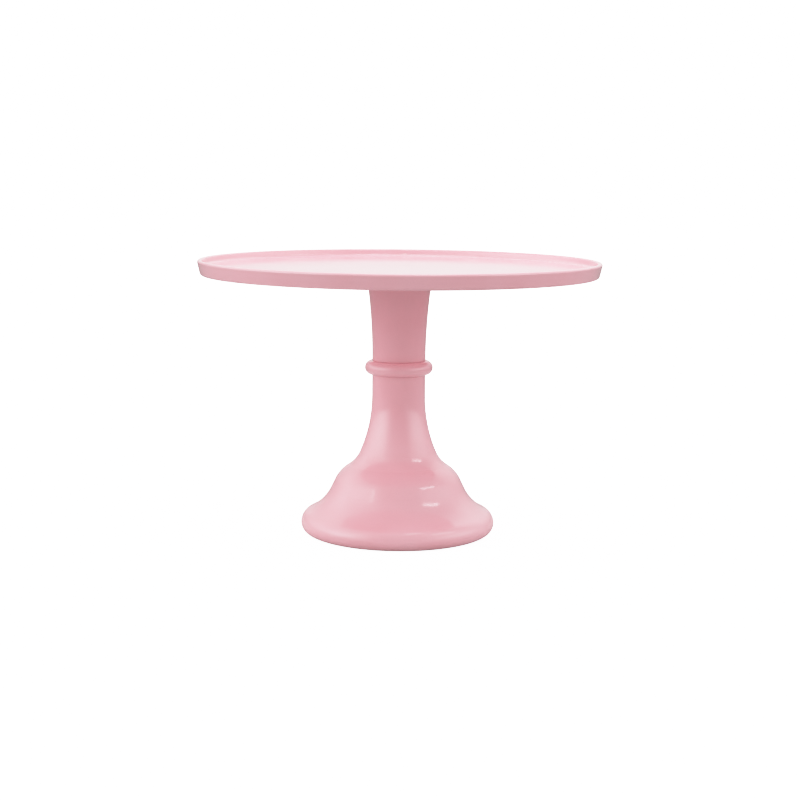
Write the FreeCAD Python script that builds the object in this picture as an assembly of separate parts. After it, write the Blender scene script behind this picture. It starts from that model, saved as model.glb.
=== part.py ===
# Cake stand: a round plate on a two-part pedestal, pressed in melamine and drawn together by one bolt.
# Millimetres. Origin at the centre of the foot's underside, +Z up along the stand's axis.
import FreeCAD, Part
import math
import os

# driving dimensions
stand_height = 206.0        # foot to the top of the plate's rim

# plate
plate_radius = 150.0        # widest point, near the top of the rim
plate_side_height = 11.2    # rim top to the edge that stands under it
plate_side_draft = 2.6      # how far the side leans in over that height
plate_depth = 5.4           # rim top to the floor that the cake stands on
floor_thickness = 4.2
rim_width = 3.6             # lip of the rim, seen from above
rim_inner_draft = 1.4       # how far the rim's inner wall leans in down to the floor
rim_rounding = 1.6          # lip, both edges
edge_rounding = 2.0         # lower edge of the side
edge_width = 6.0            # flat under the side
floor_fillet = 2.4
underside_fillet = 1.2
pad_margin = 8.3            # thick centre under the floor, outside the neck that bears on it
boss_wall = 5.0             # round the insert
boss_length = 11.0
register_height = 4.0       # ring under the plate that centres the neck
register_wall = 2.4
register_rib_count = 4
register_rib_width = 2.4
insert_hole_spare = 1.5     # room above the insert for the bolt's tip

# neck, the upper half of the stem
stem_radius = 20.0          # both halves of the stem, where they meet the collar
neck_flare = 4.7            # how much wider the neck is at its top
wall = 3.4                  # neck and bell
joint_rounding = 0.4        # edges of both halves where they meet the collar
neck_mouth_wall = 4.1       # round the register ring
neck_mouth_depth = 6.0
gasket_recess_depth = 0.8
gasket_recess_width = 2.6
collar_seat_width = 5.0     # shoulder that bears on the collar, outside the spigot
spigot_wall = 3.0
neck_floor_height = 3.5     # moulding above the shoulder, round the spigot's mouth

# collar
collar_height = 125.65      # middle of the half-round
collar_thickness = 10.5
collar_projection = 5.5     # beyond the stem

# bell base, as stations down its outline: radius, height and slope from the vertical
stem_straight = 16.4        # under the collar
flare_radius = 28.8
flare_height = 61.3
flare_slope = 23.5
ledge_radius = 36.3         # the crease where the flare meets the shoulder
ledge_height = 51.6
ledge_slope_above = 51.0
ledge_slope_below = 59.0
shoulder_radius = 47.5
shoulder_height = 40.1
waist_radius = 50.8
waist_height = 33.3
waist_slope = 25.5
foot_radius = 73.2
toe_width = 5.4             # from the cove's end out to the foot's widest point
toe_height = 16.3
toe_slope = 64.5
foot_widest_height = 7.6
foot_rounding = 7.4         # underneath, down to the table
foot_flat_width = 4.3       # ring that stands on the table
foot_inner_draft = 0.025    # how far the inside of the ring leans in, for each millimetre up
socket_depth = 8.4          # for the neck's spigot
web_thickness = 5.0         # floor of the socket, where the bolt bears

# fastening, M6
bolt_radius = 3.0
bolt_thread_depth = 0.3     # down to the middle of the thread's flanks
bolt_head_overhang = 2.0
bolt_head_height = 6.0
bolt_chamfer = 0.6
key_sides = 6
key_across_flats = 5.0
key_depth = 3.0
bolt_thread_length = 24.0
thread_engagement = 8.5
insert_wall = 1.5           # outside the bolt
insert_length = 10.0
insert_groove_depth = 0.7
insert_groove_width = 3.0
insert_sides = 16
cushion_overhang = 7.0      # each washer's width, outside the bolt
cushion_thickness = 1.5
flat_washer_overhang = 6.0
flat_washer_thickness = 1.6
spring_washer_overhang = 2.9
spring_washer_thickness = 1.6
spring_washer_gap = 1.0
gasket_thickness = 1.2

# clearances
bolt_clearance = 0.3        # on radius, in the web and the washers
thread_clearance = 0.02     # on radius, bolt to insert
spigot_clearance = 0.15     # on radius
spigot_end_clearance = 0.6
register_clearance = 0.3    # on radius
gasket_clearance = 0.2      # each side in its recess
cutter_spare = 1.0          # how far a cutting tool reaches outside what it cuts
touching = 1e-6             # points closer than this are one point
full_turn = 360

# sizes that follow
neck_top_radius = stem_radius + neck_flare
neck_bore_radius = neck_top_radius - neck_mouth_wall
pad_radius = neck_top_radius + pad_margin
spigot_radius = stem_radius - collar_seat_width
socket_radius = spigot_radius + spigot_clearance
collar_reach = stem_radius + collar_projection
bolt_hole_radius = bolt_radius + bolt_clearance
bolt_thread_radius = bolt_radius - bolt_thread_depth
bolt_head_radius = bolt_radius + bolt_head_overhang
insert_radius = bolt_radius + insert_wall
boss_radius = insert_radius + boss_wall
cushion_radius = bolt_radius + cushion_overhang
flat_washer_radius = bolt_radius + flat_washer_overhang
spring_washer_radius = bolt_radius + spring_washer_overhang

# heights that follow
plate_edge = stand_height - plate_side_height
floor_top = stand_height - plate_depth
floor_under = floor_top - floor_thickness
pad_face = plate_edge
neck_top = pad_face - (gasket_thickness - gasket_recess_depth)
collar_top = collar_height + collar_thickness / 2
collar_bottom = collar_height - collar_thickness / 2
socket_floor = collar_bottom - socket_depth
web_under = socket_floor - web_thickness
boss_end = pad_face - boss_length
cushion_under = web_under - cushion_thickness
flat_washer_under = cushion_under - flat_washer_thickness
bolt_seat = flat_washer_under - spring_washer_thickness
bolt_length = boss_end + thread_engagement - bolt_seat


# helpers
def vector(radius, height):
    return FreeCAD.Vector(radius, 0, height)


def line(start, end):
    return Part.LineSegment(start, end).toShape()


def turned(edges):
    """Solid of revolution about Z from a closed chain of edges in the XZ plane."""
    face = Part.Face(Part.Wire(edges))
    solid = face.revolve(FreeCAD.Vector(0, 0, 0), FreeCAD.Vector(0, 0, 1), full_turn)
    return solid if solid.Volume > 0 else solid.reversed()


def rounded_outline(corners):
    """Closed edges through (radius, height, rounding) corners, each rounding a tangent arc."""
    entries = []
    for index, (radius, height, rounding) in enumerate(corners):
        here = vector(radius, height)
        before = vector(*corners[index - 1][:2]) - here
        after = vector(*corners[(index + 1) % len(corners)][:2]) - here
        half_angle = before.getAngle(after) / 2
        if rounding == 0:
            entries.append((here, None, here))
            continue
        reach = rounding / math.tan(half_angle)
        before.normalize()
        after.normalize()
        bisector = before + after
        bisector.normalize()
        centre = here + bisector * (rounding / math.sin(half_angle))
        entries.append((here + before * reach, centre - bisector * rounding, here + after * reach))
    edges = []
    for index, (start, middle, end) in enumerate(entries):
        if middle is not None:
            edges.append(Part.Arc(start, middle, end).toShape())
        following = entries[(index + 1) % len(entries)][0]
        if end.distanceToPoint(following) > touching:
            edges.append(line(end, following))
    return edges


def turned_corners(corners):
    return turned(rounded_outline(corners))


def disc(radius, bottom, top, bore=0.0):
    solid = Part.makeCylinder(radius, top - bottom, FreeCAD.Vector(0, 0, bottom))
    if bore > 0:
        solid = solid.cut(Part.makeCylinder(bore, top - bottom, FreeCAD.Vector(0, 0, bottom)))
    return solid


def prism(sides, circumradius, bottom, top):
    corners = []
    for side in range(sides + 1):
        angle = 2 * math.pi * side / sides
        across, along = circumradius * math.cos(angle), circumradius * math.sin(angle)
        corners.append(FreeCAD.Vector(across, along, bottom))
    return Part.Face(Part.makePolygon(corners)).extrude(FreeCAD.Vector(0, 0, top - bottom))


def arc_about(centre, radius, start_degrees, end_degrees):
    points = []
    for degrees in (start_degrees, (start_degrees + end_degrees) / 2, end_degrees):
        angle = math.radians(degrees)
        points.append(centre + vector(math.cos(angle), math.sin(angle)) * radius)
    return Part.Arc(*points).toShape()


def upright_arc(start, end):
    """Arc from start to end whose tangent at start is vertical."""
    across = end.x - start.x
    up = end.z - start.z
    radius = (across ** 2 + up ** 2) / (2 * across)
    half_turn = math.atan2(across, up)
    middle = vector(start.x + radius * (1 - math.cos(half_turn)), start.z + radius * math.sin(half_turn))
    return Part.Arc(start, middle, end).toShape()


def save(solid, node):
    solid.exportStep("parts/" + node + ".step")


# plate
def plate_body():
    lean = math.atan2(plate_side_draft, plate_side_height)
    corner_spread = rim_rounding * ((1 + math.sin(lean)) / math.cos(lean) - 1)
    outer_top = plate_radius + corner_spread    # before rounding, so that the rounded lip is at plate_radius
    inner_top = outer_top - rim_width
    recess_outer = outer_top - plate_side_draft - edge_width
    return turned_corners([
        (0, floor_top, 0),
        (inner_top - rim_inner_draft, floor_top, floor_fillet),
        (inner_top, stand_height, rim_rounding),
        (outer_top, stand_height, rim_rounding),
        (outer_top - plate_side_draft, plate_edge, edge_rounding),
        (recess_outer, plate_edge, underside_fillet),
        (recess_outer - (floor_under - plate_edge), floor_under, underside_fillet),
        (pad_radius + (floor_under - plate_edge), floor_under, underside_fillet),
        (pad_radius, pad_face, 0),
        (0, pad_face, 0),
    ])


def register_ring():
    outer = neck_bore_radius - register_clearance
    ring = disc(outer, pad_face - register_height, pad_face, outer - register_wall)
    rib_length = outer - register_wall / 2
    for rib in range(register_rib_count):
        web = Part.makeBox(rib_length, register_rib_width, register_height,
                           FreeCAD.Vector(0, -register_rib_width / 2, pad_face - register_height))
        web.rotate(FreeCAD.Vector(0, 0, 0), FreeCAD.Vector(0, 0, 1), full_turn * rib / register_rib_count)
        ring = ring.fuse(web)
    return ring


def insert_envelope():
    """Outside of the brass insert: a many-sided barrel with a groove that the moulding fills."""
    top = boss_end + insert_length
    groove_bottom = boss_end + (insert_length - insert_groove_width) / 2
    barrel = prism(insert_sides, insert_radius, boss_end, top)
    core_radius = insert_radius - insert_groove_depth
    groove_top = groove_bottom + insert_groove_width
    groove = disc(insert_radius + cutter_spare, groove_bottom, groove_top, core_radius)
    return barrel.cut(groove)


def make_plate():
    boss = disc(boss_radius, boss_end, pad_face)
    tip_room = disc(bolt_hole_radius, boss_end, boss_end + insert_length + insert_hole_spare)
    plate = plate_body().fuse(boss).fuse(register_ring())
    return plate.cut(insert_envelope()).cut(tip_room).removeSplitter()


def make_plate_insert():
    bore = disc(bolt_thread_radius + thread_clearance, boss_end, boss_end + insert_length)
    return insert_envelope().cut(bore)


def make_plate_gasket():
    bottom = neck_top - gasket_recess_depth
    inner = neck_bore_radius + gasket_clearance
    outer = neck_bore_radius + gasket_recess_width - gasket_clearance
    return disc(outer, bottom, bottom + gasket_thickness, inner)


# stem and base
def make_neck():
    mouth_floor = neck_top - neck_mouth_depth
    recess_floor = neck_top - gasket_recess_depth
    recess_radius = neck_bore_radius + gasket_recess_width
    spigot_end = socket_floor + spigot_end_clearance
    spigot_bore = spigot_radius - spigot_wall
    inside_start = vector(stem_radius - wall, collar_top + neck_floor_height)
    inside_end = vector(neck_bore_radius, mouth_floor)
    rounding_centre = vector(stem_radius - joint_rounding, collar_top + joint_rounding)
    rounding_end = vector(stem_radius, rounding_centre.z)
    edges = [
        arc_about(rounding_centre, joint_rounding, -90, 0),
        upright_arc(rounding_end, vector(neck_top_radius, neck_top)),
        line(vector(neck_top_radius, neck_top), vector(recess_radius, neck_top)),
        line(vector(recess_radius, neck_top), vector(recess_radius, recess_floor)),
        line(vector(recess_radius, recess_floor), vector(neck_bore_radius, recess_floor)),
        line(vector(neck_bore_radius, recess_floor), inside_end),
        upright_arc(inside_start, inside_end),
        line(inside_start, vector(spigot_bore, inside_start.z)),
        line(vector(spigot_bore, inside_start.z), vector(spigot_bore, spigot_end)),
        line(vector(spigot_bore, spigot_end), vector(spigot_radius, spigot_end)),
        line(vector(spigot_radius, spigot_end), vector(spigot_radius, collar_top)),
        line(vector(spigot_radius, collar_top), vector(rounding_centre.x, collar_top)),
    ]
    return turned(edges)


def make_collar_ring():
    half_round = collar_thickness / 2
    centre_radius = collar_reach - half_round
    top_outer = vector(centre_radius, collar_top)
    bottom_outer = vector(centre_radius, collar_bottom)
    edges = [
        line(vector(socket_radius, collar_top), top_outer),
        arc_about(vector(centre_radius, collar_height), half_round, 90, -90),
        line(bottom_outer, vector(socket_radius, collar_bottom)),
        line(vector(socket_radius, collar_bottom), vector(socket_radius, collar_top)),
    ]
    return turned(edges)


def set_in(radius, height, slope, inset):
    return vector(radius - inset * math.cos(slope), height - inset * math.sin(slope))


def bell_outline(inset):
    """Edges down the bell from the stem to the foot's widest point, set in from the surface by inset."""
    stations = [
        (stem_radius, collar_bottom - stem_straight, 0, 0),
        (flare_radius, flare_height, flare_slope, flare_slope),
        (ledge_radius, ledge_height, ledge_slope_above, ledge_slope_below),
        (shoulder_radius, shoulder_height, waist_slope, waist_slope),
        (waist_radius, waist_height, waist_slope, waist_slope),
        (foot_radius - toe_width, toe_height, toe_slope, toe_slope),
        (foot_radius, foot_widest_height, 0, 0),
    ]
    edges = []
    for (radius_a, height_a, _, slope_a), (radius_b, height_b, slope_b, _) in zip(stations, stations[1:]):
        leaving = math.radians(slope_a)
        arriving = math.radians(slope_b)
        start = set_in(radius_a, height_a, leaving, inset)
        end = set_in(radius_b, height_b, arriving, inset)
        if edges:
            start = edges[-1].lastVertex().Point    # at the crease, the upper curve's end serves both
        # the handles that bring the curve closest to a circular arc
        handle = start.distanceToPoint(end) / (3 * math.cos((arriving - leaving) / 4) ** 2)
        curve = Part.BezierCurve()
        curve.setPoles([
            start,
            start + vector(math.sin(leaving), -math.cos(leaving)) * handle,
            end - vector(math.sin(arriving), -math.cos(arriving)) * handle,
            end,
        ])
        edges.append(curve.toShape())
    return edges


def bell_outside():
    outline = bell_outline(0)
    stem_edge = outline[0].firstVertex().Point
    foot_edge = outline[-1].lastVertex().Point
    joint_centre = vector(stem_radius - joint_rounding, collar_bottom - joint_rounding)
    foot_centre = vector(foot_radius - foot_rounding, foot_rounding)
    edges = [line(vector(0, collar_bottom), vector(joint_centre.x, collar_bottom))]
    edges.append(arc_about(joint_centre, joint_rounding, 90, 0))
    edges.append(line(vector(stem_radius, joint_centre.z), stem_edge))
    edges += outline
    edges.append(line(foot_edge, vector(foot_radius, foot_centre.z)))
    edges.append(arc_about(foot_centre, foot_rounding, 0, -90))
    edges.append(line(vector(foot_centre.x, 0), vector(0, 0)))
    edges.append(line(vector(0, 0), vector(0, collar_bottom)))
    return turned(edges)


def bell_hollow():
    """The room under the web: the outline set in by the wall, inside the ring that the foot stands on."""
    outline = bell_outline(wall)
    stem_edge = outline[0].firstVertex().Point
    foot_edge = outline[-1].lastVertex().Point
    edges = [line(vector(0, web_under), vector(stem_edge.x, web_under))]
    edges.append(line(vector(stem_edge.x, web_under), stem_edge))
    edges += outline
    edges.append(line(foot_edge, vector(foot_edge.x, 0)))
    edges.append(line(vector(foot_edge.x, 0), vector(0, 0)))
    edges.append(line(vector(0, 0), vector(0, web_under)))
    mouth = foot_radius - foot_rounding - foot_flat_width
    core = Part.makeCone(mouth, mouth - foot_inner_draft * web_under, web_under)
    return turned(edges).common(core)


def make_bell_base():
    socket = disc(socket_radius, socket_floor, collar_bottom)
    bolt_hole = disc(bolt_hole_radius, web_under, socket_floor)
    return bell_outside().cut(bell_hollow()).cut(socket).cut(bolt_hole)


# fastening
def make_cushion_washer():
    return disc(cushion_radius, cushion_under, web_under, bolt_hole_radius)


def make_flat_washer():
    return disc(flat_washer_radius, flat_washer_under, cushion_under, bolt_hole_radius)


def make_spring_washer():
    ring = disc(spring_washer_radius, bolt_seat, flat_washer_under, bolt_hole_radius)
    split = Part.makeBox(spring_washer_radius + cutter_spare, spring_washer_gap, spring_washer_thickness,
                         FreeCAD.Vector(0, -spring_washer_gap / 2, bolt_seat))
    return ring.cut(split)


def make_tie_bolt():
    tip = bolt_seat + bolt_length
    head_end = bolt_seat - bolt_head_height
    bolt = turned_corners([
        (0, head_end, 0),
        (bolt_head_radius - bolt_chamfer, head_end, 0),
        (bolt_head_radius, head_end + bolt_chamfer, 0),
        (bolt_head_radius, bolt_seat, 0),
        (bolt_radius, bolt_seat, 0),
        (bolt_radius, tip - bolt_thread_length, 0),
        (bolt_thread_radius, tip - bolt_thread_length + bolt_chamfer, 0),
        (bolt_thread_radius, tip - bolt_chamfer, 0),
        (bolt_thread_radius - bolt_chamfer, tip, 0),
        (0, tip, 0),
    ])
    key_circumradius = key_across_flats / 2 / math.cos(math.pi / key_sides)
    key_hole = prism(key_sides, key_circumradius, head_end, head_end + key_depth)
    return bolt.cut(key_hole)


nodes = {
    "plate": make_plate,
    "plate_insert": make_plate_insert,
    "plate_gasket": make_plate_gasket,
    "neck": make_neck,
    "collar_ring": make_collar_ring,
    "bell_base": make_bell_base,
    "cushion_washer": make_cushion_washer,
    "flat_washer": make_flat_washer,
    "spring_washer": make_spring_washer,
    "tie_bolt": make_tie_bolt,
}

os.makedirs("parts", exist_ok=True)
for node, make in nodes.items():
    shape = make()
    save(shape, node)
    print(node, round(shape.Volume / 1000, 2), "cm3, solids", len(shape.Solids), "valid", shape.isValid())
print("bolt length", round(bolt_length, 2))
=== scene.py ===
import math

import bpy
from mathutils import Matrix, Vector


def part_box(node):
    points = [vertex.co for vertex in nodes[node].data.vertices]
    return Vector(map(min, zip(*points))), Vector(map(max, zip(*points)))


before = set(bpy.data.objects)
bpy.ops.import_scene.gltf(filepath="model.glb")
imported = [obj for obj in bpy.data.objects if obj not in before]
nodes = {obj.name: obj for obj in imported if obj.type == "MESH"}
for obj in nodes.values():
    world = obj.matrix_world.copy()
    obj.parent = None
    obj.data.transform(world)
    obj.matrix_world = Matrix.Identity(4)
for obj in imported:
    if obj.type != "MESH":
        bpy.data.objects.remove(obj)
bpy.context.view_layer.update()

mm = 0.001
white = (1.0, 1.0, 1.0, 1.0)
noiseMiddle = (0.3, 0.7)      # where nearly all of a noise's values lie


# colour and shader nodes

def toLinear(hexColour):
    # sRGB hex to the linear colour that shaders use
    channels = [int(hexColour[i:i + 2], 16) / 255 for i in (1, 3, 5)]
    return [c / 12.92 if c <= 0.04045 else ((c + 0.055) / 1.055) ** 2.4 for c in channels] + [1.0]


def setInputs(tree, node, inputs):
    # an input takes a value, a socket, or a node, which means the node's first output
    for name, value in inputs.items():
        if isinstance(value, bpy.types.Node):
            value = value.outputs[0]
        if isinstance(value, bpy.types.NodeSocket):
            tree.links.new(value, node.inputs[name])
        else:
            node.inputs[name].default_value = value


def addNode(tree, kind, inputs=None, tints=(), **settings):
    # one node with its inputs and settings; tints are a ramp's places and the hex colours there
    node = tree.nodes.new(kind)
    for name, value in settings.items():
        setattr(node, name, value)
    setInputs(tree, node, inputs or {})
    if tints:
        stops = node.color_ramp.elements
        while len(stops) < len(tints):
            stops.new(0.5)
        for stop, (place, hexColour) in zip(stops, tints):
            stop.position = place
            stop.color = toLinear(hexColour)
    return node


def clearTree(owner):
    # the node tree of a material or a world, with nothing in it yet
    owner.use_nodes = True
    owner.node_tree.nodes.clear()
    return owner.node_tree


def newMaterial(name, **values):
    # a principled material; its uniform values sit directly on the shader's sockets
    material = bpy.data.materials.new(name)
    tree = clearTree(material)
    shader = addNode(tree, "ShaderNodeBsdfPrincipled", values)
    addNode(tree, "ShaderNodeOutputMaterial", {"Surface": shader})
    position = addNode(tree, "ShaderNodeTexCoord").outputs["Object"]
    return material, tree, shader, position


def addPatches(tree, shader, position, look):
    # soft patches in which colour and roughness change together, from a noise's low values to its high ones
    patches = addNode(tree, "ShaderNodeTexNoise", {"Vector": position, "Scale": 1 / look["patchSize"],
                                                   "Detail": look["patchDetail"]})
    colour = addNode(tree, "ShaderNodeValToRGB", {"Fac": patches}, look["patchTints"])
    low, high = noiseMiddle
    atLow, atHigh = look["patchRoughness"]
    roughness = addNode(tree, "ShaderNodeMapRange", {"Value": patches, "From Min": low, "From Max": high,
                                                     "To Min": atLow, "To Max": atHigh})
    setInputs(tree, shader, {"Base Color": colour, "Roughness": roughness})


def addGrain(tree, shader, position, size, height, detail):
    # fine relief all over, of this size and height in metres
    relief = addNode(tree, "ShaderNodeTexNoise", {"Vector": position, "Scale": 1 / size, "Detail": detail})
    grain = addNode(tree, "ShaderNodeBump", {"Strength": 1.0, "Distance": height, "Height": relief})
    setInputs(tree, shader, {"Normal": grain})
    return grain


def cover(material, *names):
    # the material goes on these pieces
    for name in names:
        mesh = nodes[name].data
        mesh.materials.clear()
        mesh.materials.append(material)


# the four mouldings

melamine = {
    # the moulding powder's pink, from deep to pale, where the filler lies nearer the skin
    "cloudTints": ((0.35, "#F7B7C0"), (0.5, "#F8BAC3"), (0.66, "#F8BCC5")),
    "cloudSize": 38 * mm,     # flow of the powder in the press
    "cloudDetail": 3.0,
    "fleckSize": 0.9 * mm,    # cellulose fibres, drawn several times coarser than they are so that they show
    "fleckDetail": 2.0,
    "fleckShade": 0.975,      # of the pink, at the darkest flecks
    "fleckReach": (0.3, 0.6),
    "ior": 1.6,
    "roughness": 0.12,        # polished steel mould
    "rippleSize": 9 * mm,     # the skin's slight waviness
    "rippleHeight": 0.008 * mm,
    "rippleDetail": 1.5,
}


def mouldedMelamine():
    # Compression-moulded melamine: alpha-cellulose in resin, polished by the mould. It gives an even, deep
    # colour with faint clouding and flecks under a hard, clear gloss that ripples slightly.
    material, tree, shader, position = newMaterial("mouldedMelamine", Roughness=melamine["roughness"],
                                                   IOR=melamine["ior"])
    clouds = addNode(tree, "ShaderNodeTexNoise", {"Vector": position, "Scale": 1 / melamine["cloudSize"],
                                                  "Detail": melamine["cloudDetail"]})
    pink = addNode(tree, "ShaderNodeValToRGB", {"Fac": clouds}, melamine["cloudTints"])
    flecks = addNode(tree, "ShaderNodeTexNoise", {"Vector": position, "Scale": 1 / melamine["fleckSize"],
                                                  "Detail": melamine["fleckDetail"]})
    start, end = melamine["fleckReach"]
    shade = addNode(tree, "ShaderNodeMapRange", {"Value": flecks, "From Min": start, "From Max": end,
                                                 "To Min": melamine["fleckShade"], "To Max": 1.0})
    # a colour mix has its two colours at 6 and 7 and its result at 2
    flecked = addNode(tree, "ShaderNodeMix", {0: 1.0, 6: pink, 7: shade}, data_type="RGBA",
                      blend_type="MULTIPLY")
    setInputs(tree, shader, {"Base Color": flecked.outputs[2]})
    addGrain(tree, shader, position, melamine["rippleSize"], melamine["rippleHeight"],
             melamine["rippleDetail"])
    return material


cover(mouldedMelamine(), "plate", "neck", "collar_ring", "bell_base")
print("melamine on the four mouldings")


# the insert in the plate

brass = {
    "patchTints": ((0.35, "#C9A25A"), (0.62, "#E2C27A")),    # dull, bright
    "patchRoughness": (0.4, 0.22),
    "patchSize": 3 * mm,
    "patchDetail": 4.0,
    "ringPitch": 0.12 * mm,   # feed of the lathe tool
    "ringHeight": 0.004 * mm,
}


def turnedBrass():
    # Free-cutting brass turned on a lathe: bright metal with fine feed rings, dulled in patches by handling
    # and by the heat of the press.
    material, tree, shader, position = newMaterial("turnedBrass", Metallic=1.0)
    addPatches(tree, shader, position, brass)
    height = addNode(tree, "ShaderNodeSeparateXYZ", {"Vector": position}).outputs["Z"]
    rings = addNode(tree, "ShaderNodeMath", {0: height, 1: brass["ringPitch"] / 2}, operation="PINGPONG")
    # the rings' values rise to half the pitch, and this takes them down to the height of a tool mark
    flatten = 2 * brass["ringHeight"] / brass["ringPitch"]
    marks = addNode(tree, "ShaderNodeBump", {"Strength": 1.0, "Distance": flatten, "Height": rings})
    setInputs(tree, shader, {"Normal": marks})
    return material


cover(turnedBrass(), "plate_insert")


# the gasket between plate and neck

silicone = {
    "patchTints": ((0.35, "#DCDAD2"), (0.65, "#E9E7E0")),
    "patchRoughness": (0.38, 0.55),
    "patchSize": 4 * mm,
    "patchDetail": 3.0,
    "ior": 1.41,
    "milkiness": 0.35,        # share of the light that goes in
    "depth": 1.5 * mm,        # how far it wanders inside
    "depthOfRGB": (1.0, 0.9, 0.8),
    "grainSize": 0.25 * mm,   # cut from textured sheet
    "grainHeight": 0.006 * mm,
    "grainDetail": 2.0,
}


def cutSilicone():
    # Food-grade silicone sheet, stamped out: milky and slightly see-through, with a satin grain from the
    # press cloth.
    material, tree, shader, position = newMaterial("cutSilicone", IOR=silicone["ior"])
    setInputs(tree, shader, {"Subsurface Weight": silicone["milkiness"],
                             "Subsurface Scale": silicone["depth"],
                             "Subsurface Radius": silicone["depthOfRGB"]})
    addPatches(tree, shader, position, silicone)
    addGrain(tree, shader, position, silicone["grainSize"], silicone["grainHeight"],
             silicone["grainDetail"])
    return material


cover(cutSilicone(), "plate_gasket")


# the cushion washer under the web

rubber = {
    # black, and the greyish wax that comes to the surface
    "patchTints": ((0.4, "#1C1C1E"), (0.7, "#2B2A2A")),
    "patchRoughness": (0.62, 0.85),
    "patchSize": 5 * mm,
    "patchDetail": 4.0,
    "ior": 1.52,
    "grainSize": 0.3 * mm,
    "grainHeight": 0.02 * mm,
    "grainDetail": 3.0,
}


def blackRubber():
    # Vulcanised rubber sheet, stamped out: matt black with a fine grain and a greyish bloom in patches.
    material, tree, shader, position = newMaterial("blackRubber", IOR=rubber["ior"])
    addPatches(tree, shader, position, rubber)
    addGrain(tree, shader, position, rubber["grainSize"], rubber["grainHeight"], rubber["grainDetail"])
    return material


cover(blackRubber(), "cushion_washer")


# bolt and steel washers

zinc = {
    "patchTints": ((0.35, "#B9BEC5"), (0.65, "#D3D6DA")),    # grey, bright
    "patchRoughness": (0.38, 0.2),
    "patchSize": 2.2 * mm,
    "patchDetail": 3.0,
    "tumbleSize": 0.5 * mm,   # marks from the plating barrel
    "tumbleHeight": 0.006 * mm,
    "tumbleDetail": 3.0,
}
thread = {
    "pitch": 1.0 * mm,        # M6 coarse
    "depth": 0.6 * mm,
    "length": 24 * mm,        # from the bolt's tip
    "runOut": 1.0 * mm,
}


def brightZinc(name):
    # Steel, barrel-plated with zinc: bright and slightly blue, with a soft spangle and small tumbling marks.
    material, tree, shader, position = newMaterial(name, Metallic=1.0)
    addPatches(tree, shader, position, zinc)
    marks = addGrain(tree, shader, position, zinc["tumbleSize"], zinc["tumbleHeight"], zinc["tumbleDetail"])
    return material, tree, shader, position, marks


def threadedZinc():
    # The same plating over a rolled thread: flanks that climb one pitch in a turn, up to the tip.
    material, tree, shader, position, marks = brightZinc("threadedZinc")
    height = addNode(tree, "ShaderNodeSeparateXYZ", {"Vector": position}).outputs["Z"]
    around = addNode(tree, "ShaderNodeTexGradient", {"Vector": position}, gradient_type="RADIAL")
    climb = addNode(tree, "ShaderNodeMath", {0: height, 1: thread["pitch"]}, operation="DIVIDE")
    turns = addNode(tree, "ShaderNodeMath", {0: climb, 1: around.outputs["Fac"]}, operation="ADD")
    flanks = addNode(tree, "ShaderNodeMath", {0: turns, 1: 0.5}, operation="PINGPONG")
    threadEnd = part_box("tie_bolt")[1].z - thread["length"]
    reach = addNode(tree, "ShaderNodeMapRange", {"Value": height, "From Min": threadEnd,
                                                 "From Max": threadEnd + thread["runOut"]})
    cut = addNode(tree, "ShaderNodeMath", {0: flanks, 1: reach}, operation="MULTIPLY")
    # the flanks' values rise to a half, hence twice the depth
    ridges = addNode(tree, "ShaderNodeBump", {"Strength": 1.0, "Distance": 2 * thread["depth"],
                                              "Height": cut, "Normal": marks})
    setInputs(tree, shader, {"Normal": ridges})
    return material


cover(brightZinc("brightZinc")[0], "flat_washer", "spring_washer")
cover(threadedZinc(), "tie_bolt")
print("brass, silicone, rubber and zinc on the parts inside")


# studio

studio = {
    "tableColour": "#F4F4F4",
    "tableRadius": 6.0,
    "tableSides": 96,
    "tableGlow": 1.5,               # light through the table, so that it reads as white
    "bounceColour": "#C8C8C8",      # what the table gives back to the stand, which is less
    "farBounceColour": "#848484",
    "bounceReach": (0.28, 0.45),    # distances from the stand over which one becomes the other
    "backdrop": 2.6,                # only seen by the camera
    "glowSpread": 21,               # degrees, at which a glow has half its strength
    "aimHeight": 0.11,
    "lightDistance": 2.0,
}
# Soft light all round, as broad glows. Azimuth and elevation are in degrees, and azimuth is measured from the
# camera's side, positive to its right.
glows = {
    "overhead": {"azimuth": 0, "elevation": 90, "strength": 2.6},
    "backHigh": {"azimuth": 180, "elevation": 45, "strength": 1.5},
    "left": {"azimuth": -90, "elevation": 8, "strength": 1.6},
    "leftHigh": {"azimuth": -60, "elevation": 32, "strength": 1.1},
    "frontLeft": {"azimuth": -60, "elevation": 8, "strength": 2.2},
    "front": {"azimuth": 0, "elevation": 32, "strength": 0.5},
    "frontRight": {"azimuth": 60, "elevation": 8, "strength": 1.5},
    "right": {"azimuth": 90, "elevation": 8, "strength": 1.6},
    "rightHigh": {"azimuth": 60, "elevation": 32, "strength": 0.5},
    "backLeftHigh": {"azimuth": -120, "elevation": 32, "strength": 1.35},
    "backRightHigh": {"azimuth": 135, "elevation": 32, "strength": 1.3},
    "back": {"azimuth": 180, "elevation": 8, "strength": 0.9},
}
# Lamps that give the gloss its few crisp highlights. Tilt turns a lamp about the line from it to the stand,
# and size is in metres.
lamps = {
    "keyRight": {"azimuth": 31, "elevation": 65, "tilt": 0, "size": (0.5, 0.35), "watts": 4},
    "fillLeft": {"azimuth": -50, "elevation": 35, "tilt": 0, "size": (0.25, 0.15), "watts": 0.3},
    "sideRight": {"azimuth": 66, "elevation": 39, "tilt": -15, "size": (0.9, 0.2), "watts": 2.6},
}


def directionOf(azimuth, elevation):
    # from the stand towards a light
    a, e = math.radians(azimuth), math.radians(elevation)
    return Vector((math.sin(a) * math.cos(e), -math.cos(a) * math.cos(e), math.sin(e)))


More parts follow.
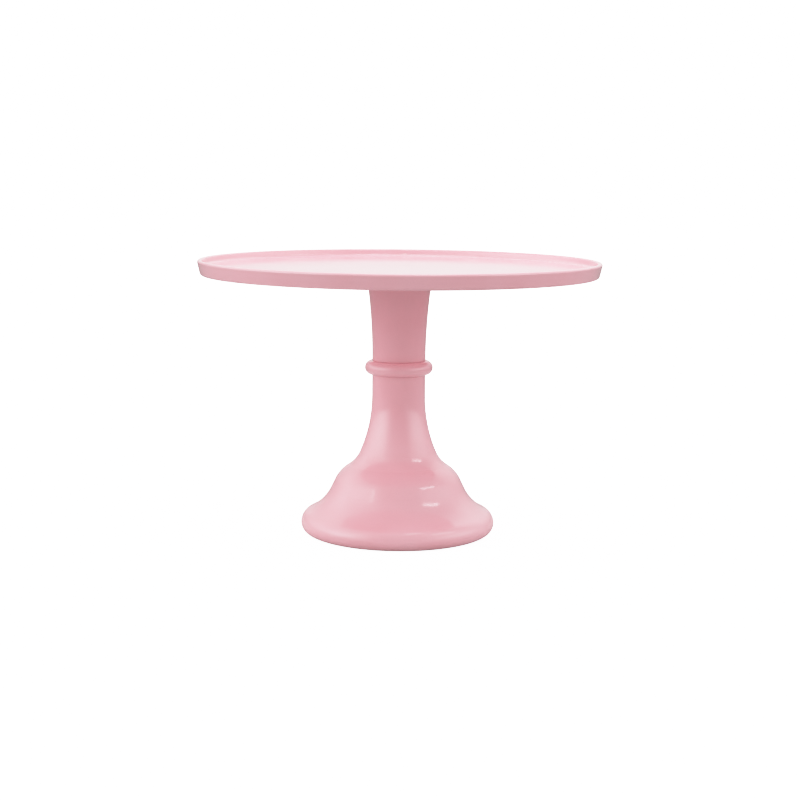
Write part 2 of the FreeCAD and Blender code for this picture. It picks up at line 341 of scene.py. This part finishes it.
def addTable():
    bpy.ops.mesh.primitive_circle_add(vertices=studio["tableSides"], radius=studio["tableRadius"],
                                      fill_type="NGON")
    table = bpy.context.object
    table.name = "table"
    material = bpy.data.materials.new("litAcrylic")
    tree = clearTree(material)
    direct = addNode(tree, "ShaderNodeLightPath").outputs["Is Camera Ray"]
    position = addNode(tree, "ShaderNodeTexCoord").outputs["Object"]
    distance = addNode(tree, "ShaderNodeVectorMath", {0: position}, operation="LENGTH").outputs["Value"]
    near, far = studio["bounceReach"]
    edge = addNode(tree, "ShaderNodeMapRange", {"Value": distance, "From Min": near, "From Max": far})
    bounce = addNode(tree, "ShaderNodeValToRGB", {"Fac": edge},
                     ((0.0, studio["bounceColour"]), (1.0, studio["farBounceColour"])))
    colour = addNode(tree, "ShaderNodeMix", {0: direct, 6: bounce, 7: toLinear(studio["tableColour"])},
                     data_type="RGBA").outputs[2]
    card = addNode(tree, "ShaderNodeBsdfDiffuse", {"Color": colour})
    light = addNode(tree, "ShaderNodeMath", {0: direct, 1: studio["tableGlow"]}, operation="MULTIPLY")
    glow = addNode(tree, "ShaderNodeEmission", {"Color": white, "Strength": light})
    both = addNode(tree, "ShaderNodeAddShader", {0: card, 1: glow})
    addNode(tree, "ShaderNodeOutputMaterial", {"Surface": both})
    table.data.materials.append(material)


def addRoom():
    room = bpy.data.worlds.new("softRoom")
    tree = clearTree(room)
    direction = addNode(tree, "ShaderNodeTexCoord").outputs["Generated"]
    # a glow is exp(sharpness * (cosine of the angle from its middle - 1)), a half at its spread
    sharpness = math.log(2) / (1 - math.cos(math.radians(studio["glowSpread"])))
    total = 0.0
    for glow in glows.values():
        towards = directionOf(glow["azimuth"], glow["elevation"])
        facing = addNode(tree, "ShaderNodeVectorMath", {0: direction, 1: towards}, operation="DOT_PRODUCT")
        away = addNode(tree, "ShaderNodeMath", {0: facing.outputs["Value"], 1: 1.0}, operation="SUBTRACT")
        fall = addNode(tree, "ShaderNodeMath", {0: away, 1: sharpness}, operation="MULTIPLY")
        shape = addNode(tree, "ShaderNodeMath", {0: fall}, operation="EXPONENT")
        light = addNode(tree, "ShaderNodeMath", {0: shape, 1: glow["strength"]}, operation="MULTIPLY")
        total = addNode(tree, "ShaderNodeMath", {0: light, 1: total}, operation="ADD")
    soft = addNode(tree, "ShaderNodeBackground", {"Color": white, "Strength": total})
    backdrop = addNode(tree, "ShaderNodeBackground", {"Color": white, "Strength": studio["backdrop"]})
    direct = addNode(tree, "ShaderNodeLightPath").outputs["Is Camera Ray"]
    seen = addNode(tree, "ShaderNodeMixShader", {0: direct, 1: soft, 2: backdrop})
    addNode(tree, "ShaderNodeOutputWorld", {"Surface": seen})
    bpy.context.scene.world = room


def addLamp(name, azimuth, elevation, tilt, size, watts):
    light = bpy.data.lights.new(name, "AREA")
    light.shape = "RECTANGLE"
    light.size, light.size_y = size
    light.energy = watts
    lamp = bpy.data.objects.new(name, light)
    direction = directionOf(azimuth, elevation)
    lamp.location = Vector((0, 0, studio["aimHeight"])) + direction * studio["lightDistance"]
    facing = (-direction).to_track_quat("-Z", "Y").to_matrix()
    lamp.rotation_euler = (facing @ Matrix.Rotation(math.radians(tilt), 3, "Z")).to_euler()
    lamp.visible_camera = False
    bpy.context.scene.collection.objects.link(lamp)


addTable()
addRoom()
for name, settings in lamps.items():
    addLamp(name, **settings)
print("studio ready")


# camera

camera = {
    "distance": 1.2,
    "height": 0.2798,
    "sideStep": 0.0011,
    "pitchDown": 8.495,
    "roll": 0.56,
    "lens": 72.4,
    "sensorWidth": 36,
}
# how film takes the light: unchanged up to the shoulder, then ever more softly towards white
film = {
    "shoulder": 0.6,
    "white": 2.5,                   # light that comes out as pure white
    "knots": (0.3, 0.6, 0.8, 1.0, 1.3, 1.7),
}


def addCamera():
    data = bpy.data.cameras.new("camera")
    data.lens = camera["lens"]
    data.sensor_width = camera["sensorWidth"]
    seat = bpy.data.objects.new("camera", data)
    seat.location = (camera["sideStep"], -camera["distance"], camera["height"])
    tilt = Matrix.Rotation(math.radians(90 - camera["pitchDown"]), 3, "X")
    roll = Matrix.Rotation(math.radians(camera["roll"]), 3, "Z")
    seat.rotation_euler = (tilt @ roll).to_euler("XYZ")
    bpy.context.scene.collection.objects.link(seat)
    bpy.context.scene.camera = seat


def onFilm(light):
    # what the film gives for an amount of light
    left = 1 - film["shoulder"]
    over = max(light - film["shoulder"], 0.0)
    return min(light, film["shoulder"]) + left * (1 - math.exp(-over / left))


def setTones():
    view = bpy.context.scene.view_settings
    view.view_transform = "Standard"
    view.use_curve_mapping = True
    mapping = view.curve_mapping
    mapping.clip_max_x = film["white"]
    curve = mapping.curves[3]       # the one for all three colours at once
    curve.points[0].location = (0.0, 0.0)
    curve.points[1].location = (film["white"], 1.0)
    for light in film["knots"]:
        curve.points.new(light, onFilm(light))
    mapping.update()


addCamera()
setTones()
print("camera placed")
